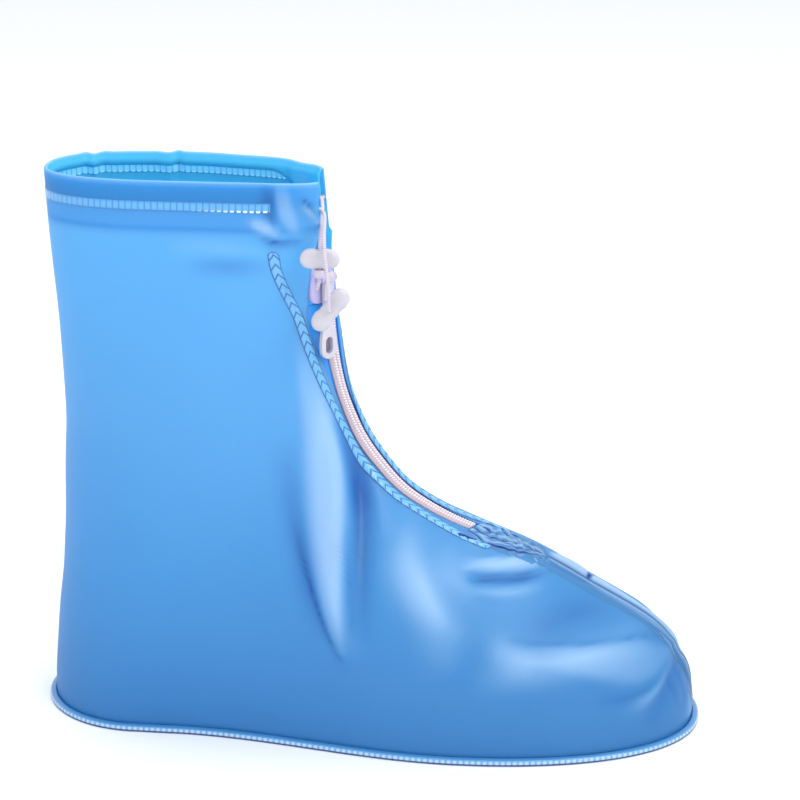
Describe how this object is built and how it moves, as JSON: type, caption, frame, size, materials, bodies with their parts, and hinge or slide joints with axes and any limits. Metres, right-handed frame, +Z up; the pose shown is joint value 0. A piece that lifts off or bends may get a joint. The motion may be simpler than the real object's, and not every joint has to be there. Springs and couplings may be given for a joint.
{
  "type": "shoe cover",
  "caption": "Boot-shaped waterproof film cover for a shoe, with a front zip, welded seams, and a drawcord with toggles in its folded top edge.",
  "frame": {"origin": "centre of the footprint on the floor", "axes": "+X from heel to toe, +Z up, the zip lies a little towards -Y"},
  "size_m": [0.3, 0.1178, 0.2494],
  "materials": {
    "film": "soft translucent film",
    "sole_film": "thicker translucent film",
    "weld": "pressed weld",
    "tape": "deeper blue film tape",
    "coil": "nylon coil",
    "slider": "moulded",
    "plastic": "moulded",
    "cord": "elastic cord"
  },
  "bodies": {
    "cover": {"upper_shell": "film", "sole": "sole_film", "sole_edge_weld": "weld", "hem": "film", "hem_ladder_weld": "weld", "toe_seam": "weld", "zip_tape_near": "tape", "zip_tape_far": "tape", "chevron_weld_near": "weld", "chevron_weld_far": "weld", "zip_coil": "coil", "zip_slider": "slider", "drawcord": "cord", "cord_tail_near": "cord", "cord_tail_far": "cord", "cord_toggle_upper": "plastic", "cord_toggle_lower": "plastic", "cord_knot": "cord"},
    "pull": {"zip_pull": "plastic"}
  },
  "joints": [
    {"name": "zip_pull_hinge", "type": "hinge", "parent": "cover", "child": "pull", "pos_m": [-0.01617, -0.01259, 0.2047], "axis": [-0.6428, -0.766, 0], "range_deg": [0, 130]}
  ]
}
